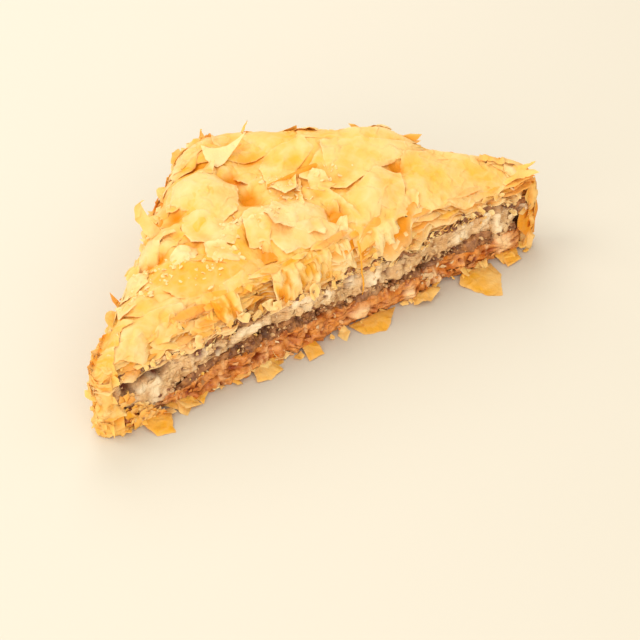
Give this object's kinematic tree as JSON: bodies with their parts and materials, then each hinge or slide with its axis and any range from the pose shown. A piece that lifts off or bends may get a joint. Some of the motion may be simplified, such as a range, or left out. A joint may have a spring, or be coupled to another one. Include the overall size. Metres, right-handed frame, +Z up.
{
  "type": "baklava piece",
  "caption": "Triangular piece of walnut baklava, half of a baked square cut corner to corner, with a puffed flaky crust over syrupy leaves and walnut layers.",
  "frame": {"origin": "middle of the flat base, under the centre of the whole piece", "axes": "+X along the cut face towards the higher tip, -Y out of the cut face, +Y towards the right-angled baked corner, +Z up"},
  "size_m": [0.1394, 0.0764, 0.035],
  "materials": {
    "syrup_pastry": "satin",
    "moist_pastry": "satin",
    "baked_crust": "satin",
    "walnut": "matte"
  },
  "bodies": {
    "root": {"bottom_pastry": "syrup_pastry", "lower_walnut": "walnut", "middle_pastry": "moist_pastry", "upper_walnut": "walnut", "top_pastry": "baked_crust"}
  },
  "joints": []
}
